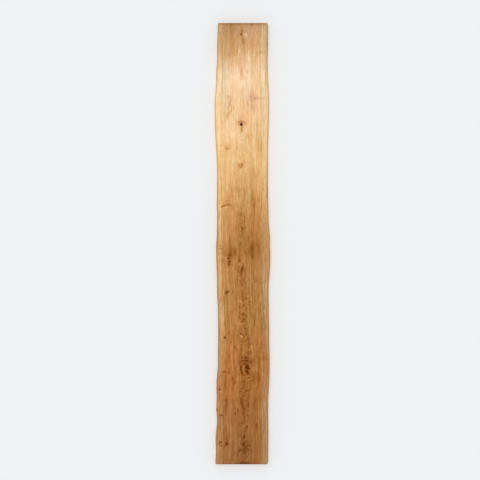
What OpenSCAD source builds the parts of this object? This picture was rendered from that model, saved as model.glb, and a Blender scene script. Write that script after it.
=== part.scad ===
// Live-edge timber plank: sawn faces and ends, with the log's natural wavy edges kept.
// Lies flat. X runs across the plank, Y along the grain, Z up through the thickness.
// The origin is at the middle of the lower face.

/* [Plank] */
// Length along the grain, from sawn end to sawn end
length = 2400; // [1200:50:4800]
// Mean width between the natural edges where they stand out furthest
width = 285; // [200:5:500]
// Thickness between the sawn faces
thickness = 45; // [25:1:60]

/* [Natural edges] */
// How far the wavy edges swing to either side of their mean line
wave_height = 9.5; // [0:0.5:20]
// Height of the log's centre above the lower face, where the edges stand out furthest
log_centre = 6; // [5:1:20]
// Size of the small flat that softens each corner between a face and an edge
arris = 2; // [0.5:0.5:4]

/* [Open knot] */
// Width of the hollow in the open knot, at the upper face
knot_width = 12; // [4:1:30]
// Depth of the hollow in the open knot
knot_depth = 8; // [2:1:15]
// Distance of the open knot from the far end
knot_from_end = 552; // [100:1:1000]
// Distance of the open knot from the middle of the width
knot_off_middle = -6; // [-50:1:50]

/* [Hidden] */

wood = "#c39462";
// The crests and hollows of each natural edge, from the near end to the far end: the place as a
// share of the length, and the swing as a share of wave_height
left_crests = [
    [0.00, 0.60], [0.03, 0.25], [0.05, 0.40], [0.10, -0.35], [0.12, 0.05], [0.15, -0.15],
    [0.17, 0.00], [0.23, -0.88], [0.28, -0.95], [0.34, -0.90], [0.40, -0.38], [0.49, 0.10],
    [0.53, -0.40], [0.57, -0.40], [0.59, -0.15], [0.61, -0.35], [0.66, -0.35], [0.79, 0.90],
    [0.82, 1.00], [0.87, 0.20], [0.93, -0.40], [1.00, -0.75]
];
right_crests = [
    [0.00, -0.30], [0.06, -0.10], [0.12, -0.25], [0.22, 0.60], [0.28, 0.40], [0.39, 0.05],
    [0.47, 1.00], [0.51, 0.72], [0.56, 0.00], [0.61, -0.35], [0.70, -0.35], [0.82, 0.25],
    [0.89, -0.35], [0.92, -0.60], [0.95, -0.35], [1.00, -0.35]
];

// Slices along the length, one for each hundredth, so that each crest falls on a slice
slices = 100;
// Steps up the round part of an edge
edge_steps = 4;
// Width of the hollow's floor as a share of its width at the face
hollow_floor = 0.4;
// How far the hollow's cutter stands above the face
over = 1;

edge_heights = concat(
    [0, arris],
    [for (i = [0:edge_steps]) log_centre + (thickness - arris - log_centre) * i / edge_steps],
    [thickness]
);
rows = len(edge_heights);
ring = 2 * rows;

// Goes smoothly from 0 to 1 as t does, level at both ends
function ease(t) = (1 - cos(180 * t)) / 2;

// Swing of an edge at a share of the length
function swing(crests, share, i = 0) =
    share <= crests[i + 1][0]
        ? crests[i][1] + (crests[i + 1][1] - crests[i][1])
            * ease((share - crests[i][0]) / (crests[i + 1][0] - crests[i][0]))
        : swing(crests, share, i + 1);

// Radius of the log at a share of the length, on one side
function log_radius(crests, share) = width / 2 + wave_height * swing(crests, share);

// Reach of an edge from the middle at one of its heights: round as the log was, cut back at the faces
function reach(radius, row) =
    sqrt(radius ^ 2 - (edge_heights[row] - log_centre) ^ 2)
        - (row == 0 || row == rows - 1 ? arris : 0);

// Points around the plank at one slice: up the right edge and down the left one
function slice_points(share) =
    let (
        y = length * (share - 0.5),
        right = log_radius(right_crests, share),
        left = log_radius(left_crests, share)
    )
    concat(
        [for (row = [0:rows - 1]) [reach(right, row), y, edge_heights[row]]],
        [for (row = [rows - 1:-1:0]) [-reach(left, row), y, edge_heights[row]]]
    );

// The two triangles between neighbouring points of a slice and the next slice
function strip_faces(slice, i) =
    let (
        a = slice * ring + i,
        b = slice * ring + (i + 1) % ring
    )
    [[a, b, b + ring], [a, b + ring, a + ring]];

// The timber as sawn, with its natural edges
module sawn_timber() {
    points = [for (slice = [0:slices]) each slice_points(slice / slices)];
    sides = [for (slice = [0:slices - 1]) for (i = [0:ring - 1]) each strip_faces(slice, i)];
    near_end = [for (i = [ring - 1:-1:0]) i];
    far_end = [for (i = [0:ring - 1]) slices * ring + i];
    polyhedron(points, concat(sides, [near_end, far_end]));
}

// The hollow of the open knot, which narrows to its floor and runs on above the face
module knot_hollow() {
    slope = knot_width * (1 - hollow_floor) / knot_depth;
    translate([knot_off_middle, length / 2 - knot_from_end, thickness - knot_depth])
        cylinder(h = knot_depth + over, d1 = knot_width * hollow_floor, d2 = knot_width + slope * over);
}

module plank() {
    color(wood)
        difference() {
            sawn_timber();
            knot_hollow();
        }
}

plank();
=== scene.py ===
"""Live-edge timber plank: its dressed shape, its finish and its studio, built around the CAD frame."""

import math
from collections import namedtuple

import bmesh
import bpy
import numpy as np
from bpy.props import FloatProperty, FloatVectorProperty, IntProperty, PointerProperty
from mathutils import Matrix, Vector, noise
from mathutils.bvhtree import BVHTree


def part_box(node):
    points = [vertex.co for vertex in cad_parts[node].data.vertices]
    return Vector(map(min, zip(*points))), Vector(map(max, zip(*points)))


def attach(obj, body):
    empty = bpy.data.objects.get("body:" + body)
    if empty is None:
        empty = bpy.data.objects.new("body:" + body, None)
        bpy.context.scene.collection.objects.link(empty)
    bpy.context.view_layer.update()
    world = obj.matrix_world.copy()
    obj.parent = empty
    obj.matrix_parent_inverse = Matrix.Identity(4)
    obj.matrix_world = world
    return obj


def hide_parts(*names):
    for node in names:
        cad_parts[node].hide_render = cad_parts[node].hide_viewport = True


bl_info = {
    "name": "Live-edge plank",
    "version": (1, 0, 0),
    "blender": (4, 5, 0),
    "location": "3D View > Sidebar > Plank",
    "description": "Builds a live-edge timber plank with its grain, knots and studio",
    "category": "Object",
}

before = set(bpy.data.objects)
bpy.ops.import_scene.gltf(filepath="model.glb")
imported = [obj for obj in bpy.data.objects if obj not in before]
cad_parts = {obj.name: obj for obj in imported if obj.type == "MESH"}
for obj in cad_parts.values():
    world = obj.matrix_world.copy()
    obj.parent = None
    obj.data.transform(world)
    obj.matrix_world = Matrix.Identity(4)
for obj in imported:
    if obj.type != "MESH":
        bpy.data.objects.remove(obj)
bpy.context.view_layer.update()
LOW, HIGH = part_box("plank")
LENGTH = HIGH.y - LOW.y
THICKNESS = HIGH.z - LOW.z
MM = 0.001

# Size of the picture that the camera is set for, in pixels, and where the plank lies in it
PICTURE = 480
PLANK_MIDDLE = (242.4, 243.65)
PLANK_LENGTH_SEEN = 441.25

# A knot on a face. Places are millimetres from the middle of the plank and half sizes are millimetres.
# pull is how far it pushes the grain aside, heart and rim its colours, cover how solid they are, dip how
# deep it is sunk, in millimetres, and tilt how far it leans, in degrees.
Knot = namedtuple("Knot", "x y wide long pull heart rim cover dip tilt", defaults=(0,))

# The knot whose heart has fallen out, and the radius of its hollow at the face and at its floor
OPEN_KNOT = Knot(-6, 648, 8, 9, 0.8, "black", "red", 0.85, 8)
HOLLOW_RIM = 6
HOLLOW_FLOOR = 2.4
# Shares of the radius at the face between which the hollow's dark colour, knot wood with painted shade,
# fades out
HOLLOW_FADE = (0.9, 1.4)

# Fine rings in a knot: their turn over half its size, in radians, and how much they shade it
KNOT_RINGS = 26
KNOT_RING_DEPTH = 0.25
# In half sizes from a knot's middle: where its heart turns into its rim, where the rim dies away, and
# where its dip ends
HEART_TO_RIM = (0.25, 0.85)
RIM_TO_BARE = (0.75, 1.3)
DIP_EDGE = 1.35
# How fast a knot's pull on the grain dies away across and along it
PULL_ACROSS = 0.42
PULL_ALONG = 0.2

UPPER_KNOTS = (
    OPEN_KNOT,
    Knot(-8, 1137, 8, 9, 0.8, "brown", "amber", 0.85, 0.4),
    Knot(-81, 518, 12, 9, 0.6, "amber", "amber", 0.3, 0.3),
    Knot(-10, 422, 13, 13, 0.6, "amber", "amber", 0.15, 0.3),
    # The pale-hearted knot and its heart
    Knot(-4, 82, 9, 15, 0.7, "brown", "brown", 0.7, 0.4),
    Knot(-11, 78, 4, 8, 0.0, "gold", "gold", 0.9, 0.3),
    # The left knot, in three parts
    Knot(-75, -80, 7, 9, 0.7, "umber", "umber", 0.95, 0.7),
    Knot(-70, -98, 11, 6, 0.5, "umber", "umber", 0.85, 0.7),
    Knot(-72, -109, 6, 7, 0.3, "umber", "umber", 0.75, 0.7),
    # The pith's knot, the small one above it, and the dash
    Knot(-16, -92, 5, 9, 0.4, "umber", "brown", 0.9, 0.3),
    Knot(-1, -137, 6, 17, 0.8, "umber", "umber", 0.95, 0.7, -14),
    Knot(-83, -265, 14, 6, 0.3, "umber", "brown", 0.95, 0.5, 28),
    # The burr
    Knot(-9, -392, 6, 8, 0.5, "gold", "amber", 0.5, 0.3),
    Knot(11, -399, 6, 7, 0.5, "gold", "amber", 0.5, 0.3),
    Knot(-94, -511, 7, 7, 0.4, "umber", "umber", 0.9, 0.4),
    # The largest knot, in three parts
    Knot(27, -671, 11, 13, 0.9, "black", "black", 1.0, 0.9, 15),
    Knot(34, -675, 5, 6, 0.0, "black", "black", 1.0, 0.9),
    Knot(25, -697, 8, 17, 0.6, "black", "red", 1.0, 0.9, 34),
    # Small knots near the edges, and the pair at the near end
    Knot(-125, -792, 7, 7, 0.3, "umber", "brown", 0.85, 0.4),
    Knot(-138, -906, 5, 9, 0.2, "umber", "umber", 0.7, 0.4),
    Knot(76, -986, 7, 8, 0.4, "red", "brown", 0.8, 0.3),
    Knot(-118, -1082, 10, 6, 0.4, "brown", "brown", 0.95, 0.4),
    Knot(-87, -1087, 8, 10, 0.6, "umber", "red", 1.0, 0.6),
)
LOWER_KNOTS = (
    Knot(18, 410, 16, 20, 0.8, "brown", "amber", 0.8, 0),
    Knot(-34, -250, 11, 14, 0.7, "black", "red", 0.9, 0, 12),
    Knot(52, -860, 8, 9, 0.6, "brown", "brown", 0.8, 0),
)

# A darker streak of the upper face, or a paler one where its depth is below nought: its place and half
# sizes in millimetres, how much darker it is, and its tilt in degrees
Streak = namedtuple("Streak", "x y wide long depth tilt", defaults=(0,))

STREAKS = [Streak(*mark) for mark in (
    # Far end: painted shade in a band along the end's edge, broad darker patches, the band round the first
    # knot, and stripes below it
    (0, 1194, 300, 8, 0.6), (-90, 1035, 22, 50, 0.25), (-59, 1163, 60, 22, 0.25),
    (91, 1108, 45, 110, -0.3), (-3, 1158, 6, 10, 0.9), (-1, 1134, 6, 26, 0.8), (5, 1096, 8, 18, 0.5),
    (17, 1136, 10, 12, -0.65), (11, 1028, 7, 38, 0.35), (-44, 1040, 3, 18, 0.6),
    (-29, 1040, 3, 18, 0.6), (-37, 1045, 3, 20, -0.5), (-19, 1045, 3, 20, -0.5),
    (104, 1041, 14, 8, 0.35), (-107, 970, 3, 40, 0.6), (-4, 934, 6, 22, 0.75), (26, 933, 6, 9, 0.5),
    (49, 941, 13, 20, 0.25),
    # Pale stretch: soft marks, and the open knot's ring and tail
    (-102, 860, 30, 120, 0.09), (-14, 882, 28, 42, -0.25), (-86, 865, 13, 22, -0.25),
    (129, 925, 6, 48, 0.8), (-75, 798, 14, 10, 0.4), (-65, 776, 6, 12, 0.5, -30),
    (-70, 754, 5, 20, 0.55, -18), (-60, 724, 4, 14, 0.5, -25), (-76, 702, 7, 20, 0.75, -20),
    (-88, 705, 11, 32, 0.3), (-45, 741, 5, 18, 0.35, -10), (31, 763, 4, 14, 0.4, 10),
    (37, 771, 6, 8, -0.15), (99, 791, 28, 5, 0.35), (-6, 665, 14, 5, 0.35), (-6, 658, 12, 7, 0.5),
    (-23, 653, 5, 13, 0.35), (-4, 622, 5, 18, 1.4, 3), (83, 646, 12, 14, 0.35),
    (30, 585, 12, 20, 0.55, 18), (-60, 595, 80, 26, -0.2), (94, 534, 18, 80, 0.3),
    (-118, 533, 28, 4, 0.3), (-118, 502, 28, 4, 0.3), (-81, 518, 14, 11, 0.5), (-29, 519, 8, 12, 0.35),
    # Three lobes of one knot
    (-19, 426, 7, 9, 1.0), (-3, 427, 7, 9, 1.1), (-10, 413, 4, 5, 0.9), (-34, 388, 4, 16, 0.35, -40),
    (7, 448, 4, 14, 0.4, 20),
    # Spike across the grain, and dark streaks about the pale-hearted knot
    (-102, 206, 14, 5, 1.5, 22), (-79, 212, 12, 5, 0.9), (-65, 207, 10, 5, 0.5, -20),
    (-41, 205, 24, 14, 0.2), (-78, 230, 18, 4, 0.5), (-27, 263, 3, 20, -0.6), (-21, 263, 3, 20, 0.6),
    (15, 260, 4, 20, 0.5), (64, 206, 3, 32, 0.8), (64, 160, 3, 24, 0.45), (50, 380, 24, 60, 0.15),
    (76, 370, 13, 20, 0.28), (-18, 294, 26, 20, 0.28), (78, 225, 12, 34, 0.4), (53, 263, 14, 3, 0.25),
    (53, 251, 14, 3, 0.25), (53, 239, 14, 3, 0.25), (-7, 159, 6, 14, 0.9), (12, 140, 4, 24, 0.8),
    (12, 80, 6, 16, 0.7),
    # Brown patches across the middle, and the stripes at its left edge
    (59, 148, 22, 190, 0.35), (32, 33, 5, 14, 0.9), (49, 66, 13, 20, 0.25), (53, -12, 26, 60, 0.3),
    (53, -28, 10, 26, 0.8), (36, -45, 22, 26, 0.35), (56, -69, 7, 18, 0.9), (86, -24, 14, 34, 0.5),
    (78, -75, 13, 34, 0.3), (78, -200, 13, 24, 0.3), (-113, 28, 13, 20, -0.25),
    (-34, -86, 10, 20, -0.35), (-9, 3, 3, 16, 0.6), (-69, 28, 5, 10, 0.5), (-66, 2, 10, 28, 0.4),
    (-54, -44, 36, 30, 0.35), (-89, 48, 20, 60, -0.25), (8, -90, 18, 90, -0.25),
    (-34, -162, 12, 22, -0.3), (-67, -46, 9, 24, 0.8), (-41, -45, 7, 22, 0.9), (-72, -63, 17, 7, 1.1),
    (-121, -27, 8, 4, 1.1), (-119, -12, 13, 7, 0.5), (-124, -53, 20, 4, 0.4), (-124, -94, 20, 4, 0.4),
    # The left knot's curl and tail, the line of the pith, and slanting figure on the right
    (-94, -152, 30, 60, -0.25), (93, -172, 28, 90, -0.3), (-61, -78, 4, 7, 0.8),
    (-71, -88, 4, 8, 1.1, 25), (-58, -114, 12, 4, 0.4, -32), (-70, -120, 4, 8, 0.8),
    (-17, -113, 6, 8, -1.0), (-20, -148, 5, 9, 0.8), (10, -140, 4, 10, 0.6), (-4, -162, 6, 9, 0.9),
    (-6, -202, 4, 36, 0.6), (5, -194, 3, 9, 0.8), (6, -217, 3, 28, -0.4), (-5, -287, 4, 30, 0.5),
    (91, -194, 22, 4, 0.4, 32), (102, -216, 20, 4, 0.4, 32), (25, -289, 4, 4, -0.8),
    (21, -298, 3, 8, 0.6), (-6, -317, 5, 6, -0.8), (41, -317, 9, 6, 0.5), (-16, -342, 3, 16, 0.9),
    (37, -334, 10, 3, 0.4), (37, -352, 10, 3, 0.35), (-32, -352, 13, 20, 0.28), (68, -410, 26, 34, 0.3),
    (-59, -440, 13, 36, -0.35),
    # Burr of small knots below the pith
    (4, -385, 6, 7, 2.4), (-17, -374, 4, 7, 0.9), (-17, -401, 4, 8, 0.9), (21, -393, 4, 9, 1.0),
    (9, -412, 7, 4, 1.8), (1, -423, 6, 5, 0.9), (-9, -434, 5, 6, -1.1), (17, -463, 8, 3, 1.0),
    (-26, -499, 4, 5, 0.7), (-10, -491, 4, 5, 0.8), (26, -491, 3, 6, 0.6), (-5, -504, 4, 9, -1.2, 50),
    (6, -510, 4, 13, 0.9), (-1, -530, 8, 7, 0.6), (22, -526, 4, 16, 0.6, -14),
    (22, -546, 12, 20, -0.35), (-61, -536, 4, 6, 0.7), (32, -559, 4, 14, 0.9), (-42, -562, 6, 9, 0.7),
    (-35, -572, 4, 14, 0.9, 18), (-32, -586, 4, 6, -0.9), (-4, -570, 4, 18, 0.7, -8),
    (31, -572, 24, 18, -0.35), (46, -586, 4, 14, 0.5, 10),
    # Round the largest knot
    (-10, -602, 4, 6, 0.7), (123, -624, 18, 10, 0.5), (78, -617, 12, 22, 0.5),
    (-113, -733, 14, 22, -0.3), (-66, -657, 20, 20, -0.25), (0, -620, 8, 4, 1.5), (20, -619, 9, 5, 2.0),
    (11, -636, 13, 4, 1.3), (27, -636, 4, 4, 1.3), (-13, -642, 4, 14, 0.9), (11, -657, 8, 8, 0.8),
    (47, -636, 4, 5, 0.7), (31, -642, 26, 16, 0.4), (29, -645, 6, 5, -0.6), (45, -646, 14, 4, 0.7, -42),
    (-7, -675, 5, 13, 2.3, -4), (-3, -700, 5, 14, 2.0, 12), (8, -686, 5, 22, -0.7),
    (8, -713, 14, 6, 0.4), (40, -681, 6, 4, 1.1), (40, -695, 5, 5, -0.7), (58, -682, 15, 14, -0.5),
    (78, -727, 20, 26, 0.45), (-98, -696, 7, 5, 1.6), (-80, -700, 17, 4, 0.9, -5),
    (135, -629, 9, 3, 1.0), (-53, -735, 5, 14, 1.0, 14), (-41, -758, 5, 9, 0.7),
    (-35, -770, 4, 5, -1.0), (4, -750, 12, 10, 0.8),
    # Arch and V below it
    (3, -787, 9, 5, 0.9), (27, -800, 8, 6, 1.2), (13, -808, 14, 4, 0.7), (-11, -805, 4, 6, 1.0),
    (2, -797, 6, 4, -0.5), (-87, -852, 11, 8, 1.0), (-89, -890, 10, 34, 0.4),
    (-11, -845, 4, 24, 1.1, 15), (2, -880, 4, 18, 1.2, 27), (8, -898, 6, 5, 1.3),
    (29, -847, 4, 12, 0.7), (31, -874, 5, 12, 0.9), (-25, -908, 5, 7, 1.3), (-39, -923, 6, 6, 1.1),
    (-115, -934, 11, 4, 1.3), (9, -927, 6, 13, 1.2), (11, -951, 4, 8, 0.6), (31, -937, 3, 9, 0.8),
    (-3, -974, 8, 14, 0.6),
    # Near end: the line down the middle with its arms and foot, and the pair of knots
    (78, -999, 5, 24, 0.5), (25, -997, 4, 13, 1.4, -8), (26, -1022, 3, 12, -0.8, -10),
    (9, -1052, 5, 17, 1.4, -15), (15, -1065, 4, 9, -0.7), (5, -1092, 12, 14, 0.9),
    (10, -1094, 5, 14, 1.2), (21, -1108, 5, 8, 1.2, 10), (35, -1096, 8, 8, 0.9, -30),
    (8, -1124, 24, 11, 0.8), (-19, -1127, 6, 12, 1.2, -30), (-47, -1140, 6, 16, 0.65, -25),
    (-27, -1154, 6, 5, 0.6), (48, -1130, 4, 12, 0.7, 28), (11, -1195, 34, 9, 1.5),
    (-83, -1059, 9, 18, 0.5), (-111, -1099, 13, 3, 1.0), (-92, -1103, 8, 6, 0.7),
)]

# Soft rosy clouds on the far half, given in the same way
CLOUDS = [Streak(*mark) for mark in (
    (-95, 1098, 40, 80, 0.2), (52, 796, 24, 30, 1.0), (66, 789, 12, 10, 0.5), (55, 742, 18, 20, 0.75),
    (-72, 772, 14, 34, 0.45), (-5, 684, 7, 16, 0.8), (-5, 664, 13, 6, 1.8), (-23, 653, 5, 13, 0.6),
    (17, 653, 6, 13, 0.8), (0, 655, 26, 24, 0.3),
)]

# How strongly a mark of depth 1 tints the wood, and the tints of streaks and clouds
STREAK_STRENGTH = 1.5
STREAK_TINT = (0.74, 0.63, 0.46)
CLOUD_TINT = (0.845, 0.785, 0.8)
# How far the marks' outlines wander across and along the plank, in metres, the wander's features to
# the metre, and the share of it that the fibres follow
MARK_SHAKE = (0.01, 0.016, 0)
SHAKE_SCALE = 95.0
FIBRE_SHARE = (0.3, 0.3, 0)

# The heart of the tree along the plank, from the near end to the far end: a share of the length, and
# millimetres from the middle of the width
PITH_LINE = (
    (0.0, 0), (0.05, 14), (0.11, 9), (0.16, 10), (0.21, 26), (0.27, 18), (0.34, 8), (0.45, -2),
    (0.6, -6), (0.8, -6), (1.0, -4),
)
# How deep the heart lies under the upper face, in millimetres
PITH_DEPTH = (
    (0.0, 8), (0.04, 10), (0.11, 26), (0.2, 8), (0.28, 14), (0.4, 18), (0.5, 22), (0.7, 26), (1.0, 32),
)
# Spans that the two curves are drawn in, in millimetres
PITH_LINE_SPAN = 100
PITH_DEPTH_SPAN = 50
# Half width of the wood about the heart, in metres
HEART_WIDTH = 0.035
# How dark one year's ring is, from its first growth to its last
RING_LEVELS = ((0.0, 1.0), (0.1, 0.75), (0.35, 0.3), (0.75, 0.08), (0.94, 0.05), (1.0, 0.9))

# The heartwood's tone along the plank, from the near end to the far end
# The pale stretch, from 0.7 to 0.88, is partly the wood's own paler tone and partly painted sheen of the
# lamp
TONES = (
    (0.0, "near_brown"), (0.2, "heart_brown"), (0.35, "heart_amber"), (0.45, "heart_russet"),
    (0.5, "heart_amber"), (0.6, "honey"), (0.7, "pale_honey"), (0.8, "pale_gold"), (0.88, "pale_peach"),
    (0.94, "far_honey"), (1.0, "end_tan"),
)

# How lively the grain is along the plank, how strong the sapwood's colour is on either side, and how wild
# the figure is along the heart
LIVELY = (
    (0.0, 0.95), (0.12, 1.15), (0.25, 1.3), (0.4, 1.15), (0.58, 0.95), (0.7, 0.7), (0.88, 0.65), (1.0, 0.95),
)
SAP_LEFT = (
    (0.0, 0.12), (0.2, 0.15), (0.36, 0.26), (0.5, 0.3), (0.62, 0.36), (0.8, 0.34), (0.9, 0.24), (1.0, 0.28),
)
SAP_RIGHT = (
    (0.0, 0.21), (0.2, 0.12), (0.3, 0.1), (0.42, 0.17), (0.58, 0.17), (0.7, 0.12), (0.85, 0.2), (1.0, 0.24),
)
WILD = ((0.0, 0.7), (0.08, 0.95), (0.3, 1.0), (0.4, 0.7), (0.5, 0.4), (0.62, 0.15), (1.0, 0.15))
# The span that the curve of liveliness is drawn in
LIVELY_SPAN = 1.5

# Features to the metre across, along and up the plank, of what makes the wood uneven
FIBRES = (150, 6, 150)
FLECKS = (120, 30, 120)
FIGURE = (150, 72, 150)
HAIRS = (700, 9, 700)
PORES = (1100, 45, 1100)
SHADES = (11, 2.2, 11)
SLOW_WAVES = (16, 3.2, 16)
QUICK_WAVES = (60, 16, 60)
SAP_WAVES = (25, 3, 25)
TONE_DRIFT = (6, 2, 6)
CAST_DRIFT = (9, 3, 9)
KNOT_RAGS = (170, 90, 170)
BARK_PATCHES = (40, 9, 60)
EDGE_WEAR = (120, 14, 320)
FINE_RELIEF = (420, 6, 420)
# How much they darken the wood between their least and their most
BAND_DEPTH = 1.6
FIBRE_DEPTH = 1.9
FLECK_DEPTH = 2.0
HAIR_DEPTH = 0.9
FIGURE_DEPTH = 4.2
SHADE_DEPTH = 0.9
PORE_DEPTH = 0.35
# Where the upper face's marks come in, as shares of the thickness, where the natural edge stops, in
# metres under the bark, and how squarely end grain faces along the plank
UPPER_FROM = (0.25, 0.65)
EDGE_STOPS = (0.0006, 0.004)
END_FACING = (0.5, 0.8)

# Casts that the wood wanders between, and what end grain and its rays leave of the colour
WARM_CAST = (1.1, 0.97, 0.9, 1)
COOL_CAST = (0.9, 1.07, 1.17, 1)
END_GRAIN = (0.86, 0.79, 0.7, 1)
END_RAY = (0.5, 0.4, 0.3, 1)
BLACK = (0, 0, 0, 1)

# Sides of the plank, as its faces are marked
UPPER, LOWER, LEFT, RIGHT, NEAR, FAR = range(6)
# On the map of the finish: the gap between sides, as a share of the map, and the room past the ends of
# a side, in metres of plank
MAP_GAP = 0.006
MAP_SPARE = 0.005

# How much the oiled wood shines; its knots and darkest streaks are dull
SHEEN = 0.05

# Corners sharper than this show as corners
SHARP_CORNER = math.radians(25)


def from_hex(text):
    """A colour written as in a picture editor, as the linear values that Blender works in."""
    shares = [int(text[i:i + 2], 16) / 255 for i in (0, 2, 4)]
    return tuple(s / 12.92 if s <= 0.04045 else ((s + 0.055) / 1.055) ** 2.4 for s in shares)


def colour(name, description, text):
    """A colour that the user can change."""
    return FloatVectorProperty(
        name=name, description=description, subtype="COLOR", size=3, min=0, max=1, default=from_hex(text)
    )


def length(name, description, size):
    """A length in metres that the user can change."""
    return FloatProperty(name=name, description=description, default=size, unit="LENGTH")


class PlankSizes(bpy.types.PropertyGroup):
    """Sizes of the dressed plank."""

    rows: IntProperty(name="Rows", description="Rows of faces along the plank", default=520, min=100)
    columns: IntProperty(name="Columns", description="Columns across the lower face", default=12, min=4)
    finer: IntProperty(
        name="Finer columns", description="Columns of the upper face to one of the lower", default=10, min=1
    )
    heights: IntProperty(name="Heights", description="Rows of faces up an edge", default=12, min=4)
    lump: length("Lumps", "Height of the lumps on the natural edges", 0.0014)
    flute: length("Flutes", "Depth of the flutes along the natural edges", 0.0006)
    end_ease: length("End corners", "Size of the softened corners at the ends", 0.0008)
    ring: length("Ring spacing", "Width of one year's growth", 0.0044)
    sapwood_left: length("Left sapwood", "Width of the pale band on the left", 0.042)
    sapwood_right: length("Right sapwood", "Width of the pale band on the right", 0.048)


class TimberColours(bpy.types.PropertyGroup):
    """Colours of the timber."""

    near_brown: colour("Near end", "Heartwood at the near end", "9a6436")
    heart_brown: colour("Brown heart", "Darkest stretch of heartwood", "a86830")
    heart_amber: colour("Amber heart", "Heartwood at the middle of the plank", "b47c43")
    heart_russet: colour("Russet heart", "Heartwood at the brown patches", "b0763f")
    honey: colour("Honey", "Heartwood between the brown and the pale stretch", "cf9557")
    # Partly painted sheen: the three pale colours below are the heartwood's paler tone with a painted sheen
    # of the lamp
    pale_honey: colour("Pale honey", "Heartwood where it turns pale", "ecb97e")
    pale_gold: colour("Pale gold", "Pale stretch of heartwood", "f1c592")
    pale_peach: colour("Pale peach", "Palest stretch of heartwood", "f1c99c")
    far_honey: colour("Far honey", "Heartwood short of the far end", "cd9a64")
    end_tan: colour("Far end", "Heartwood at the far end", "b98f66")
    sapwood_gold: colour("Left sapwood", "Pale wood under the left natural edge", "f6d391")
    sapwood: colour("Right sapwood", "Pale wood under the right natural edge", "f5d8a4")
    knot_black: colour("Knot heart", "Darkest knots", "642a00")
    knot_umber: colour("Umber knot", "Dark brown knots", "7a420d")
    knot_red: colour("Red knot", "Red-brown knot wood", "7a3c08")
    knot_brown: colour("Brown knot", "Brown knot wood", "814d1e")
    knot_amber: colour("Amber knot", "Light brown knot wood", "a5682c")
    knot_gold: colour("Golden knot", "Golden knot wood", "c8924a")
    wane: colour("Natural edge", "Scraped natural edge", "dcbd90")
    bark: colour("Bark", "Bark left on the natural edge", "70491f")


class StudioSettings(bpy.types.PropertyGroup):
    """Floor, light and camera."""

    floor: colour("Floor", "Colour of the floor", "f0f1f2")
    key: FloatProperty(name="Key light", description="Strength of the key light", default=1.45, min=0)
    fill: FloatProperty(
        name="Fill light", description="Strength of the light from all round", default=0.62, min=0
    )
    lens: FloatProperty(name="Lens", description="Focal length", default=85, min=20, unit="CAMERA")


class Wiring:
    """Adds nodes to one tree, and gives back what comes out of them."""

    # Numbers of a mix node's colour sockets, whose names it uses more than once
    MIX_FIRST, MIX_SECOND, MIX_RESULT = 6, 7, 2

    def __init__(self, tree):
        self.tree = tree

    def feed(self, socket, value):
        if isinstance(value, bpy.types.NodeSocket):
            self.tree.links.new(value, socket)
        else:
            socket.default_value = value

    def node(self, kind, *values, **settings):
        """The new node itself, with those settings and with its inputs fed in turn."""
        made = self.tree.nodes.new(kind)
        for name, value in settings.items():
            setattr(made, name, value)
        for socket, value in zip(made.inputs, values):
            self.feed(socket, value)
        return made

    def fed(self, made, values):
        """The outputs of a node whose inputs are fed by name."""
        for name, value in values.items():
            self.feed(made.inputs[name], value)
        return made.outputs

    def group(self, tree, **values):
        """The outputs of a node group, fed in the same way."""
        return self.fed(self.node("ShaderNodeGroup", node_tree=tree), values)

    def math(self, operation, *values):
        return self.node("ShaderNodeMath", *values, operation=operation).outputs[0]

    def total(self, *values):
        found = values[0]
        for value in values[1:]:
            found = self.math("ADD", found, value)
        return found

    def vector(self, operation, *values):
        made = self.node("ShaderNodeVectorMath", *values, operation=operation)
        return made.outputs["Value" if operation in ("LENGTH", "DOT_PRODUCT") else "Vector"]

    def split(self, vector):
        return self.node("ShaderNodeSeparateXYZ", vector).outputs

    def join(self, x, y, z):
        return self.node("ShaderNodeCombineXYZ", x, y, z).outputs[0]

    def bell(self, first, second):
        """1 where both values are nought, falling away as they grow."""
        square = self.math("MULTIPLY_ADD", second, second, self.math("MULTIPLY", first, first))
        return self.math("EXPONENT", self.math("MULTIPLY", square, -1.0))

    def noise(self, place, stretch, detail=2.0, roughness=0.5):
        """Noise between 0 and 1, with stretch in features to the metre on each axis."""
        mapped = self.fed(self.node("ShaderNodeMapping"), {"Vector": place, "Scale": stretch})
        values = {"Vector": mapped[0], "Scale": 1.0, "Detail": detail, "Roughness": roughness}
        return self.fed(self.node("ShaderNodeTexNoise"), values)[0]

    def noise_along(self, value, scale, detail=2.0):
        """Noise between 0 and 1 along one value."""
        made = self.node("ShaderNodeTexNoise", noise_dimensions="1D")
        return self.fed(made, {"W": value, "Scale": scale, "Detail": detail})[0]

    def centred(self, value, size):
        """A value between 0 and 1, moved to lie around nought with that whole size."""
        return self.math("MULTIPLY", self.math("SUBTRACT", value, 0.5), size)

    def ease(self, value, low, high):
        """Goes smoothly from 0 at low to 1 at high."""
        made = self.node("ShaderNodeMapRange", interpolation_type="SMOOTHSTEP")
        return self.fed(made, {"Value": value, "From Min": low, "From Max": high})[0]

    def mix(self, factor, first, second, blend="MIX"):
        made = self.node("ShaderNodeMix", data_type="RGBA", blend_type=blend)
        self.feed(made.inputs["Factor"], factor)
        self.feed(made.inputs[self.MIX_FIRST], first)
        self.feed(made.inputs[self.MIX_SECOND], second)
        return made.outputs[self.MIX_RESULT]

    def ramp(self, value, stops):
        """A colour or level by value, from stops of a place and a colour."""
        made = self.node("ShaderNodeValToRGB", value)
        elements = made.color_ramp.elements
        while len(elements) < len(stops):
            elements.new(0.5)
        for element, (place, shade) in zip(elements, stops):
            element.position = place
            element.color = shade
        return made.outputs[0]

    def curve(self, value, points):
        """A smooth line through points whose places and heights lie between 0 and 1."""
        made = self.node("ShaderNodeFloatCurve")
        self.feed(made.inputs["Value"], value)
        line = made.mapping.curves[0].points
        while len(line) < len(points):
            line.new(0.5, 0.5)
        for point, place in zip(line, points):
            point.location = place
        made.mapping.update()
        return made.outputs[0]


def opaque(shade):
    """A colour with its alpha, as a node's socket holds it."""
    return (*shade, 1.0)


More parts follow.
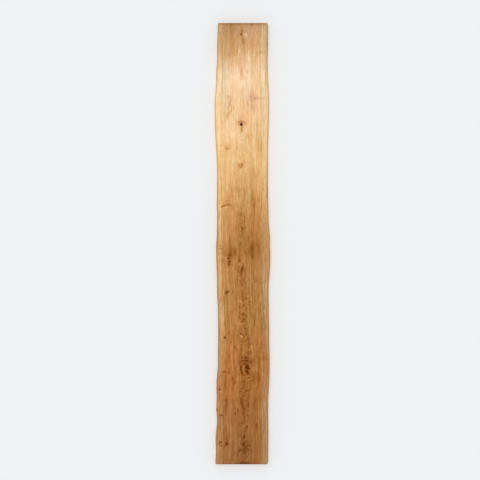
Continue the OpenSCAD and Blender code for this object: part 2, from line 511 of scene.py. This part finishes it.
def new_group(name, inputs, outputs):
    """An empty node group with those sockets, its wiring, and its two ends."""
    group = bpy.data.node_groups.new(name, "ShaderNodeTree")
    for way, sockets in (("INPUT", inputs), ("OUTPUT", outputs)):
        for label, kind in sockets:
            group.interface.new_socket(label, in_out=way, socket_type="NodeSocket" + kind)
    w = Wiring(group)
    return group, w, w.node("NodeGroupInput").outputs, w.node("NodeGroupOutput").inputs


def mark_frame(mark):
    """A mark's middle, and the two directions that measure across and along it in its own half sizes."""
    turn = math.radians(mark.tilt)
    across = Vector((math.cos(turn), math.sin(turn), 0)) / (mark.wide * MM)
    along = Vector((-math.sin(turn), math.cos(turn), 0)) / (mark.long * MM)
    return (mark.x * MM, mark.y * MM, 0), across, along


def from_middle(w, given):
    """How far a place is from a mark's middle, and the same across and along it in its half sizes."""
    offset = w.vector("SUBTRACT", given["Place"], given["Centre"])
    across = w.vector("DOT_PRODUCT", offset, given["Across"])
    along = w.vector("DOT_PRODUCT", offset, given["Along"])
    return offset, across, along


def knot_group():
    """Lays one knot over those before it: pushes the grain aside and adds the knot's own wood."""
    group, w, given, result = new_group(
        "Knot",
        (
            ("Place", "Vector"), ("Grain", "Vector"), ("Wood", "Color"), ("Covered", "Float"),
            ("Ragged", "Float"), ("Shown", "Float"), ("Centre", "Vector"), ("Across", "Vector"),
            ("Along", "Vector"), ("Pull", "Float"), ("Heart", "Color"), ("Rim", "Color"),
            ("Cover", "Float"),
        ),
        (("Grain", "Vector"), ("Wood", "Color"), ("Covered", "Float")),
    )
    offset, across, along = from_middle(w, given)
    near = w.bell(w.math("MULTIPLY", across, PULL_ACROSS), w.math("MULTIPLY", along, PULL_ALONG))
    push = w.math("MULTIPLY", w.math("MULTIPLY", near, given["Pull"]), given["Shown"])
    shift = w.vector("MULTIPLY", offset, w.join(push, 0.0, 0.0))
    w.feed(result["Grain"], w.vector("SUBTRACT", given["Grain"], shift))

    distance = w.math("ADD", w.vector("LENGTH", w.join(across, along, 0.0)), given["Ragged"])
    shade = w.mix(w.ease(distance, *HEART_TO_RIM), given["Heart"], given["Rim"])
    turn = w.math("MULTIPLY", distance, KNOT_RINGS)
    ringed = w.math("MULTIPLY_ADD", w.math("SINE", turn), KNOT_RING_DEPTH, 1.0)
    shade = w.mix(1.0, shade, ringed, "MULTIPLY")
    disc = w.math("SUBTRACT", 1.0, w.ease(distance, *RIM_TO_BARE))
    cover = w.math("MULTIPLY", w.math("MULTIPLY", disc, given["Cover"]), given["Shown"])
    w.feed(result["Wood"], w.mix(cover, given["Wood"], shade))
    bare = w.math("SUBTRACT", 1.0, given["Covered"])
    w.feed(result["Covered"], w.math("MULTIPLY_ADD", bare, cover, given["Covered"]))
    return group


def streak_group():
    """Adds one streak's darkness to those before it."""
    group, w, given, result = new_group(
        "Streak",
        (
            ("Place", "Vector"), ("Dark", "Float"), ("Centre", "Vector"), ("Across", "Vector"),
            ("Along", "Vector"), ("Depth", "Float"),
        ),
        (("Dark", "Float"),),
    )
    _, across, along = from_middle(w, given)
    w.feed(result["Dark"], w.math("MULTIPLY_ADD", w.bell(across, along), given["Depth"], given["Dark"]))
    return group


def lay_knots(w, place, grain, upper, lower, colours):
    """Lays every knot. Returns the grain bent round them, the knots' wood and how much it covers."""
    group = knot_group()
    ragged = w.centred(w.noise(place, KNOT_RAGS, 3), 0.7)
    wood, covered = BLACK, 0.0
    for knots, shown in ((UPPER_KNOTS, upper), (LOWER_KNOTS, lower)):
        for knot in knots:
            centre, across, along = mark_frame(knot)
            grain, wood, covered = w.group(
                group, Place=place, Grain=grain, Wood=wood, Covered=covered, Ragged=ragged, Shown=shown,
                Centre=centre, Across=across, Along=along, Pull=knot.pull, Cover=knot.cover,
                Heart=opaque(getattr(colours, "knot_" + knot.heart)),
                Rim=opaque(getattr(colours, "knot_" + knot.rim)),
            )
    return grain, wood, covered


def lay_streaks(w, group, place, upper, streaks):
    """How much the given streaks darken the upper face."""
    dark = 0.0
    for streak in streaks:
        centre, across, along = mark_frame(streak)
        dark, = w.group(
            group, Place=place, Dark=dark, Centre=centre, Across=across, Along=along, Depth=streak.depth
        )
    return w.math("MULTIPLY", dark, w.math("MULTIPLY", upper, STREAK_STRENGTH))


def drawn(points, span, middle=0):
    """A curve's points as its node holds them, with heights between 0 and 1."""
    return [(share, middle + height / span) for share, height in points]


def growth_rings(w, grain, share, spacing):
    """Year rings: how dark the ring is, the bands of like years, how near the heart is, and the rays."""
    x, _, z = w.split(grain)
    sideways = w.curve(share, drawn(PITH_LINE, PITH_LINE_SPAN, 0.5))
    heart_x = w.centred(sideways, PITH_LINE_SPAN * MM)
    under = w.curve(share, drawn(PITH_DEPTH, PITH_DEPTH_SPAN))
    deep = w.math("MULTIPLY", under, PITH_DEPTH_SPAN * MM)
    across = w.math("SUBTRACT", x, heart_x)
    down = w.math("SUBTRACT", w.math("SUBTRACT", THICKNESS, z), deep)
    radius = w.vector("LENGTH", w.join(across, down, 0.0))
    heart = w.bell(w.math("DIVIDE", across, HEART_WIDTH), 0.0)
    slow = w.centred(w.noise(grain, SLOW_WAVES), 0.045)
    quick = w.centred(w.noise(grain, QUICK_WAVES), 0.014)
    wild = w.math("MULTIPLY_ADD", heart, 0.8, 0.6)
    radius = w.math("MULTIPLY_ADD", w.math("ADD", slow, quick), wild, radius)
    uneven = w.centred(w.noise_along(radius, 45), 2.4)
    year = w.math("ADD", w.math("DIVIDE", radius, spacing), uneven)
    stops = [(at, (level, level, level, 1)) for at, level in RING_LEVELS]
    line = w.ramp(w.math("FRACT", year), stops)
    chance = w.node("ShaderNodeTexWhiteNoise", noise_dimensions="1D")
    weight = w.fed(chance, {"W": w.math("FLOOR", year)})["Value"]
    ring = w.math("MULTIPLY", line, w.math("MULTIPLY_ADD", weight, 0.6, 0.4))
    bands = w.noise_along(radius, 70, 2)
    rays = w.ease(w.noise_along(w.math("ARCTAN2", down, across), 26, 3), 0.56, 0.7)
    return ring, bands, heart, rays


def shaken(w, place):
    """The place with the shake that the marks' outlines have, and with the fibres' share of it."""
    warp = w.fed(w.node("ShaderNodeTexNoise"), {"Vector": place, "Scale": SHAKE_SCALE})
    either_way = w.vector("SUBTRACT", warp["Color"], (0.5, 0.5, 0.5))
    shake = w.vector("MULTIPLY", either_way, MARK_SHAKE)
    fibre_shake = w.vector("MULTIPLY", shake, FIBRE_SHARE)
    return w.vector("ADD", place, shake), w.vector("ADD", place, fibre_shake)


def tinted(w, timber, tint, depth):
    """The wood with a tint laid on it as many times as depth says."""
    shade = w.vector("POWER", tint, w.join(depth, depth, depth))
    return w.mix(1.0, timber, shade, "MULTIPLY")


def lay_sapwood(w, tone, grain, share, x, bark_depth, sizes, colours):
    """The heartwood's tone with the pale sapwood over it along both natural edges."""
    right = w.ease(x, -0.02, 0.02)
    width = w.math("MULTIPLY_ADD", right, sizes.sapwood_right - sizes.sapwood_left, sizes.sapwood_left)
    depth = w.math("ADD", bark_depth, w.centred(w.noise(grain, SAP_WAVES), 0.02))
    fade = w.math("SUBTRACT", 1.0, w.ease(w.math("DIVIDE", depth, width), 0.1, 1.0))
    left_strength = w.curve(share, SAP_LEFT)
    more_right = w.math("SUBTRACT", w.curve(share, SAP_RIGHT), left_strength)
    sap = w.math("MULTIPLY", fade, w.math("MULTIPLY_ADD", more_right, right, left_strength))
    sapwood = w.mix(right, opaque(colours.sapwood_gold), opaque(colours.sapwood))
    return w.mix(sap, tone, sapwood)


def lay_natural_edge(w, timber, tone, place, edge, colours):
    """The wood with its scraped natural edges, on which patches of bark are left."""
    patches = w.ease(w.noise(place, BARK_PATCHES, 4, 0.6), 0.6, 0.72)
    worn = w.math("MULTIPLY_ADD", w.noise(place, EDGE_WEAR, 3), 0.6, 0.4)
    scraped = w.mix(worn, opaque(colours.wane), tone)
    return w.mix(edge, timber, w.mix(patches, scraped, opaque(colours.bark)))


def lay_hollow(w, timber, place, upper, colours):
    """The wood with the dark inside of the open knot: dark knot wood, with painted shade down its hollow."""
    offset = w.vector("SUBTRACT", place, (OPEN_KNOT.x * MM, OPEN_KNOT.y * MM, 0.0))
    distance = w.vector("LENGTH", w.vector("MULTIPLY", offset, (1, 1, 0)))
    dark_to, bare_from = (share * HOLLOW_RIM * MM for share in HOLLOW_FADE)
    inside = w.math("SUBTRACT", 1.0, w.ease(distance, dark_to, bare_from))
    return w.mix(w.math("MULTIPLY", inside, upper), timber, opaque(colours.knot_black))


def oiled_surface(w, timber, place, rough, sheen):
    """The finished surface, with the fine relief of its fibres."""
    relief = {"Strength": 0.6, "Distance": 0.0004, "Height": w.noise(place, FINE_RELIEF, 3)}
    bump = w.fed(w.node("ShaderNodeBump"), relief)
    finish = {"Base Color": timber, "Roughness": rough, "Specular IOR Level": sheen, "Normal": bump[0]}
    shader = w.fed(w.node("ShaderNodeBsdfPrincipled"), finish)
    w.fed(w.node("ShaderNodeOutputMaterial"), {"Surface": shader[0]})


def timber_material(sizes, colours):
    """Oiled hardwood: tone, rings, fibres, knots, sapwood, natural edges and end grain."""
    material = bpy.data.materials.new("oiled_timber")
    material.use_nodes = True
    material.node_tree.nodes.clear()
    w = Wiring(material.node_tree)
    coordinates = w.node("ShaderNodeTexCoord")
    place = coordinates.outputs["Object"]
    x, y, z = w.split(place)
    share = w.math("ADD", w.math("DIVIDE", y, LENGTH), 0.5)
    upper = w.ease(z, *(level * THICKNESS for level in UPPER_FROM))
    lower = w.math("SUBTRACT", 1.0, upper)
    bark_depth = w.node("ShaderNodeAttribute", attribute_name="bark_depth").outputs["Fac"]
    edge = w.math("SUBTRACT", 1.0, w.ease(bark_depth, *EDGE_STOPS))
    end = w.ease(w.math("ABSOLUTE", w.split(coordinates.outputs["Normal"])[1]), *END_FACING)

    marked, fibre = shaken(w, place)
    group = streak_group()
    streaks = lay_streaks(w, group, marked, upper, STREAKS)
    clouds = lay_streaks(w, group, marked, upper, CLOUDS)
    grain, knot_wood, knot_cover = lay_knots(w, marked, fibre, upper, lower, colours)
    ring, bands, heart, rays = growth_rings(w, grain, share, sizes.ring)
    fibres = w.noise(grain, FIBRES, 3)
    flecks = w.noise(grain, FLECKS, 2, 0.6)
    figure = w.noise(grain, FIGURE, 2, 0.6)
    hairs = w.noise(grain, HAIRS, 2)
    pores = w.ease(w.noise(grain, PORES, 1), 0.6, 0.74)
    shades = w.noise(grain, SHADES, 3)

    # How much darker or paler than its tone the wood is here
    wild = w.math("MULTIPLY", heart, w.curve(share, WILD))
    lively = w.math("MULTIPLY", w.curve(share, drawn(LIVELY, LIVELY_SPAN)), LIVELY_SPAN)
    # Painted shade: the faces darken over their last 6 mm before each sawn end, where the end's arris falls
    # in shade
    to_end = w.math("SUBTRACT", LENGTH / 2, w.math("ABSOLUTE", y))
    end_arris_shade = w.math("SUBTRACT", 1.0, w.math("MAXIMUM", end, w.ease(to_end, 0.0, 0.006)))
    rings = w.math("ADD", w.math("MULTIPLY_ADD", ring, 0.5, -0.15), w.centred(bands, BAND_DEPTH))
    threads = w.total(
        w.centred(fibres, FIBRE_DEPTH), w.centred(flecks, FLECK_DEPTH), w.centred(hairs, HAIR_DEPTH)
    )
    dark_heart = w.math("MULTIPLY_ADD", w.ease(share, 0.5, 0.66), -0.36, 0.38)
    depth = w.total(
        w.math("MULTIPLY", rings, w.math("MULTIPLY_ADD", end, 1.2, lively)),
        w.math("MULTIPLY", threads, w.math("MULTIPLY_ADD", end, -0.6, lively)),
        w.math("MULTIPLY", w.centred(figure, FIGURE_DEPTH), wild),
        w.centred(shades, SHADE_DEPTH),
        w.math("MULTIPLY", pores, PORE_DEPTH),
        w.math("MULTIPLY_ADD", heart, dark_heart, -0.1),
        w.math("MULTIPLY", x, 0.5),
        w.math("MULTIPLY", end_arris_shade, 1.3),
        streaks,
    )
    wander = w.centred(w.noise(grain, TONE_DRIFT), 0.09)
    stops = [(at, opaque(getattr(colours, name))) for at, name in TONES]
    tone = w.ramp(w.math("ADD", share, wander), stops)
    timber = lay_sapwood(w, tone, grain, share, x, bark_depth, sizes, colours)
    timber = tinted(w, timber, STREAK_TINT, depth)
    timber = tinted(w, timber, CLOUD_TINT, clouds)
    cast = w.mix(w.noise(grain, CAST_DRIFT), WARM_CAST, COOL_CAST)
    timber = w.mix(1.0, timber, cast, "MULTIPLY")

    # The natural edges, the knots, and the sawn ends with their darker end grain
    timber = lay_natural_edge(w, timber, tone, place, edge, colours)
    timber = w.mix(knot_cover, timber, BLACK)
    timber = w.mix(1.0, timber, knot_wood, "ADD")
    timber = lay_hollow(w, timber, place, upper, colours)
    end_shade = w.mix(w.math("MULTIPLY", rays, 0.6), END_GRAIN, END_RAY)
    timber = w.mix(end, timber, w.mix(1.0, timber, end_shade, "MULTIPLY"))

    rough = w.total(
        w.math("MULTIPLY_ADD", hairs, 0.16, 0.48),
        w.math("MULTIPLY", pores, 0.15),
        w.math("MULTIPLY", edge, 0.2),
        w.math("MULTIPLY", end, 0.2),
    )
    dull = w.math("MAXIMUM", knot_cover, w.ease(streaks, 0.3, 2.5))
    oiled_surface(w, timber, place, rough, w.math("MULTIPLY_ADD", dull, -SHEEN, SHEEN))
    return material


def spaced(count, start, stop, crowd):
    """Places of count + 1 lines from start to stop, closer together where crowd is high."""
    trials = 20 * count
    fine = np.linspace(start, stop, trials)
    gone = np.concatenate([[0], np.cumsum([crowd(place) for place in (fine[1:] + fine[:-1]) / 2])])
    return np.interp(np.linspace(0, gone[-1], count + 1), gone, fine).tolist()


def row_crowd(y):
    """How closely the rows lie: more of them at the deeper knots."""
    deep = 0.6
    reach = 28
    extra = 2
    away = [(y / MM - knot.y) / reach for knot in UPPER_KNOTS if knot.dip >= deep]
    return 1 + extra * sum(math.exp(-(share**2)) for share in away)


def column_crowd(share):
    """How closely the columns lie: more of them along the heart of the tree, where most knots are."""
    reach = 0.3
    extra = 1.3
    return 1 + extra * math.exp(-((share / reach) ** 2))


def edge_rise(share):
    """The height of an edge row by its share of the rows: closer together at the rounded corners."""
    lift = 0.9
    return THICKNESS * (0.5 - 0.5 * math.cos(math.pi * share)) ** lift


def edge_reach(tree, side, y, z):
    """How far the CAD solid reaches to one side at a place along the plank and a height."""
    inside = 0.00005
    start = Vector((
        side,
        min(max(y, LOW.y + inside), HIGH.y - inside),
        min(max(z, LOW.z + inside), HIGH.z - inside),
    ))
    hit = tree.ray_cast(start, Vector((-side, 0, 0)))[0]
    if hit is None:
        raise RuntimeError(f"the plank has no edge at {y:.3f} m along and {z:.3f} m up")
    return abs(hit.x)


def edge_relief(sizes, side, y, z):
    """Lumps and flutes of a natural edge, outwards from the CAD solid."""
    # Features to the metre along and up the edge, and a step that sets the two edges apart
    lump = noise.noise(Vector((9 * y, 14 * z, 3 * side)))
    flute = noise.noise(Vector((16 * y, 150 * z, 5 * side)))
    return sizes.lump * lump + sizes.flute * flute


def knot_dip(knots, x, y):
    """How far the knots are sunk below a sawn face here."""
    sunk = 0
    for knot in knots:
        across = (x / MM - knot.x) / knot.wide
        along = (y / MM - knot.y) / knot.long
        distance = math.hypot(across, along)
        if knot is not OPEN_KNOT:
            sunk = max(sunk, knot.dip * MM * min(1.0, max(0.0, DIP_EDGE - distance)))
    return sunk


def runs_along(edge, axis, at_least):
    """Whether an edge of the block reaches that far along an axis."""
    return abs(edge.verts[0].co[axis] - edge.verts[1].co[axis]) > at_least


def cut_block(rows, columns, heights, finer):
    """A unit block cut into rows along Y, columns across X and heights up Z, with finer columns on top."""
    bm = bmesh.new()
    bmesh.ops.create_cube(bm, size=1)
    for axis, pieces in ((1, rows), (0, columns), (2, heights)):
        along = [e for e in bm.edges if runs_along(e, axis, 0.5)]
        bmesh.ops.subdivide_edges(bm, edges=along, cuts=pieces - 1, use_grid_fill=True)
    near_top = 0.49
    top = [e for e in bm.edges if e.verts[0].co.z > near_top and runs_along(e, 0, 0.5 / columns)]
    bmesh.ops.subdivide_edges(bm, edges=top, cuts=finer - 1, use_grid_fill=True)
    return bm


def mark_sides(bm):
    """Notes on each face of the block which side of the plank it is on."""
    side = bm.faces.layers.int.new("side")
    sides = ((LEFT, RIGHT), (NEAR, FAR), (LOWER, UPPER))
    for face in bm.faces:
        middle = face.calc_center_median()
        axis = max(range(3), key=lambda i: abs(middle[i]))
        face[side] = sides[axis][middle[axis] > 0]


def shape_timber(sizes):
    """The plank's mesh, fitted to the CAD solid and given its relief."""
    solid = BVHTree.FromObject(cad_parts["plank"], bpy.context.evaluated_depsgraph_get())
    heights = sizes.heights
    columns = sizes.columns * sizes.finer
    row_y = spaced(sizes.rows, LOW.y, HIGH.y, row_crowd)
    column_share = spaced(columns, -1, 1, column_crowd)
    edge_z = [edge_rise(i / heights) for i in range(heights + 1)]
    reach = {
        (side, row, level): edge_reach(solid, side, row_y[row], edge_z[level])
        + edge_relief(sizes, side, row_y[row], edge_z[level])
        for side in (-1, 1)
        for row in range(sizes.rows + 1)
        for level in range(heights + 1)
    }
    bm = cut_block(sizes.rows, sizes.columns, heights, sizes.finer)
    mark_sides(bm)
    bark_depth = bm.verts.layers.float.new("bark_depth")
    for vert in bm.verts:
        column = round((vert.co.x + 0.5) * columns)
        row = round((vert.co.y + 0.5) * sizes.rows)
        level = round((vert.co.z + 0.5) * heights)
        share = column_share[column]
        side = 1 if share > 0 else -1
        edge = min(reach[side, row, level], HIGH.x)
        x, y, z = share * edge, row_y[row], edge_z[level]
        vert[bark_depth] = edge - abs(x)
        if level == heights:
            z -= knot_dip(UPPER_KNOTS, x, y)
        elif level == 0:
            z += knot_dip(LOWER_KNOTS, x, y)
        vert.co = (x, y, z)
    return bm


def hollow_knot(bm, knot):
    """Sinks the open knot's hollow into the upper face, narrowing to its floor, with a ragged rim."""
    steps = 4
    face_up = 0.9
    raggedness = 0.12
    rags = 2.5
    radius = HOLLOW_RIM * MM
    centre = Vector((knot.x * MM, knot.y * MM, HIGH.z))
    upper = [f for f in bm.faces if f.normal.z > face_up]
    floor = [f for f in upper if (f.calc_center_median() - centre).length < radius]
    inner = set(floor)
    rim = {v for f in floor for e in f.edges if not inner.issuperset(e.link_faces) for v in e.verts}
    for vert in rim:
        outwards = (vert.co - centre).normalized()
        ragged = 1 + raggedness * noise.noise(rags * outwards)
        vert.co = centre + outwards * (radius * ragged)
    narrower = (HOLLOW_FLOOR / HOLLOW_RIM) ** (1 / steps)
    for _ in range(steps):
        made = bmesh.ops.extrude_face_region(bm, geom=floor)["geom"]
        bmesh.ops.delete(bm, geom=floor, context="FACES")
        floor = [part for part in made if isinstance(part, bmesh.types.BMFace)]
        moved = [part for part in made if isinstance(part, bmesh.types.BMVert)]
        bmesh.ops.scale(bm, verts=moved, vec=(narrower, narrower, 1), space=Matrix.Translation(-centre))
        bmesh.ops.translate(bm, verts=moved, vec=(0, 0, -knot.dip * MM / steps))


def soften_ends(bm, size):
    """Takes the sharp corner off both sawn ends."""
    side = bm.faces.layers.int["side"]
    rim = [e for e in bm.edges if sum(f[side] in (NEAR, FAR) for f in e.link_faces) == 1]
    bmesh.ops.bevel(
        bm, geom=rim, offset=size, offset_type="OFFSET", affect="EDGES",
        segments=2, profile=0.5, material=-1,
    )


def map_bands(scale):
    """The lower line of each band on the finish map, by its side of the plank and which half it is."""
    wide = (HIGH.x - LOW.x) * scale
    thick = THICKNESS * scale
    in_two = ((UPPER, wide), (LEFT, thick), (RIGHT, thick))
    bands = {(side, half): tall for side, tall in in_two for half in (0, 1)}
    bands.update({(LOWER, 0): wide / 2, (NEAR, 0): thick})
    lines = {}
    line = MAP_GAP
    for band, tall in bands.items():
        lines[band] = line
        line += tall + MAP_GAP
    lines[FAR, 0] = lines[NEAR, 0]
    return lines


def lay_map(bm):
    """Lays the sides flat for the finish map: the long ones in two lengths, the lower face at half size."""
    side = bm.faces.layers.int["side"]
    flat = bm.loops.layers.uv.new("OFBake")
    scale = (1 - 2 * MAP_GAP) / (LENGTH / 2 + 2 * MAP_SPARE)
    lines = map_bands(scale)
    for face in bm.faces:
        shown = face[side]
        half = int(shown in (UPPER, LEFT, RIGHT) and face.calc_center_median().y > 0)
        line = lines[shown, half]
        for loop in face.loops:
            from_left, from_near, up = loop.vert.co - LOW
            along = MAP_GAP + (from_near - half * LENGTH / 2 + MAP_SPARE) * scale
            if shown == UPPER:
                spot = (along, line + from_left * scale)
            elif shown in (LEFT, RIGHT):
                spot = (along, line + up * scale)
            elif shown == LOWER:
                spot = (MAP_GAP + from_near * scale / 2, line + from_left * scale / 2)
            else:
                beside = (MAP_GAP + (HIGH.x - LOW.x) * scale) * (shown == FAR)
                spot = (MAP_GAP + beside + from_left * scale, line + up * scale)
            loop[flat].uv = spot


def finish_mesh(bm, name, material):
    """An object at the origin made from a bmesh, smooth but for its corners."""
    bm.normal_update()
    for face in bm.faces:
        face.smooth = True
    for edge in bm.edges:
        edge.smooth = edge.calc_face_angle(0) < SHARP_CORNER
    mesh = bpy.data.meshes.new(name)
    bm.to_mesh(mesh)
    bm.free()
    mesh.materials.append(material)
    piece = bpy.data.objects.new(name, mesh)
    bpy.context.scene.collection.objects.link(piece)
    return piece


def make_floor(settings):
    """A wide pale floor under the plank."""
    material = bpy.data.materials.new("pale_floor")
    material.use_nodes = True
    finish = {"Base Color": opaque(settings.floor), "Roughness": 0.9, "Specular IOR Level": 0.1}
    Wiring(material.node_tree).fed(material.node_tree.nodes["Principled BSDF"], finish)
    bm = bmesh.new()
    half_size = 30
    bmesh.ops.create_grid(bm, x_segments=1, y_segments=1, size=half_size)
    bmesh.ops.translate(bm, verts=bm.verts, vec=(0, 0, LOW.z))
    floor = finish_mesh(bm, "floor", material)


def make_light(settings):
    """A soft key light from the upper left, and even light from all round."""
    lamp = bpy.data.lights.new("key", "SUN")
    lamp.energy = settings.key
    lamp.angle = math.radians(28)
    key = bpy.data.objects.new("key", lamp)
    shines = Vector((0.1, -0.1, -1))
    key.rotation_euler = shines.to_track_quat("-Z", "Y").to_euler()
    bpy.context.scene.collection.objects.link(key)
    world = bpy.data.worlds.new("studio")
    world.use_nodes = True
    w = Wiring(world.node_tree)
    path = w.node("ShaderNodeLightPath")
    seen = path.outputs["Is Camera Ray"]
    for ray in ("Is Glossy Ray", "Is Transmission Ray"):
        seen = w.math("MAXIMUM", seen, path.outputs[ray])
    strength = w.math("MULTIPLY_ADD", seen, 1.0 - settings.fill, settings.fill)
    w.fed(world.node_tree.nodes["Background"], {"Color": opaque(settings.floor), "Strength": strength})
    bpy.context.scene.world = world


def make_camera(settings):
    """Looks straight down on the plank, which lies in the picture as in the photograph."""
    lens = bpy.data.cameras.new("camera")
    lens.lens = settings.lens
    lens.sensor_width = 36
    lens.clip_end = 100
    pixel = LENGTH / PLANK_LENGTH_SEEN
    away = PICTURE * pixel * lens.lens / lens.sensor_width
    camera = bpy.data.objects.new("camera", lens)
    camera.location = (
        (PICTURE / 2 - PLANK_MIDDLE[0]) * pixel,
        (PLANK_MIDDLE[1] - PICTURE / 2) * pixel,
        HIGH.z + away,
    )
    bpy.context.scene.collection.objects.link(camera)
    bpy.context.scene.camera = camera


class PLANK_OT_timber(bpy.types.Operator):
    """Make the plank's timber, with its natural edges, knots and finish"""

    bl_idname = "plank.make_timber"
    bl_label = "Make timber"

    def execute(self, context):
        sizes = context.scene.plank_sizes
        bm = shape_timber(sizes)
        bm.normal_update()
        hollow_knot(bm, OPEN_KNOT)
        soften_ends(bm, sizes.end_ease)
        lay_map(bm)
        timber = finish_mesh(bm, "timber", timber_material(sizes, context.scene.plank_colours))
        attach(timber, "root")
        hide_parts("plank")
        return {"FINISHED"}


class PLANK_OT_studio(bpy.types.Operator):
    """Make the floor, the light and the camera"""

    bl_idname = "plank.make_studio"
    bl_label = "Make studio"

    def execute(self, context):
        settings = context.scene.plank_studio
        make_floor(settings)
        make_light(settings)
        make_camera(settings)
        context.scene.view_settings.view_transform = "Standard"
        return {"FINISHED"}


class PLANK_PT_panel(bpy.types.Panel):
    """Lists what makes the plank"""

    bl_idname = "PLANK_PT_panel"
    bl_label = "Live-edge plank"
    bl_space_type = "VIEW_3D"
    bl_region_type = "UI"
    bl_category = "Plank"

    def draw(self, context):
        for group in (context.scene.plank_sizes, context.scene.plank_colours, context.scene.plank_studio):
            column = self.layout.column(align=True)
            for name in group.__annotations__:
                column.prop(group, name)
        for operator in (PLANK_OT_timber, PLANK_OT_studio):
            self.layout.operator(operator.bl_idname)


CLASSES = (PlankSizes, TimberColours, StudioSettings, PLANK_OT_timber, PLANK_OT_studio, PLANK_PT_panel)


def register():
    for cls in CLASSES:
        bpy.utils.register_class(cls)
    bpy.types.Scene.plank_sizes = PointerProperty(type=PlankSizes)
    bpy.types.Scene.plank_colours = PointerProperty(type=TimberColours)
    bpy.types.Scene.plank_studio = PointerProperty(type=StudioSettings)


def unregister():
    for name in ("plank_sizes", "plank_colours", "plank_studio"):
        delattr(bpy.types.Scene, name)
    for cls in reversed(CLASSES):
        bpy.utils.unregister_class(cls)


def main():
    register()
    bpy.ops.plank.make_timber()
    bpy.ops.plank.make_studio()


if __name__ == "__main__":
    main()
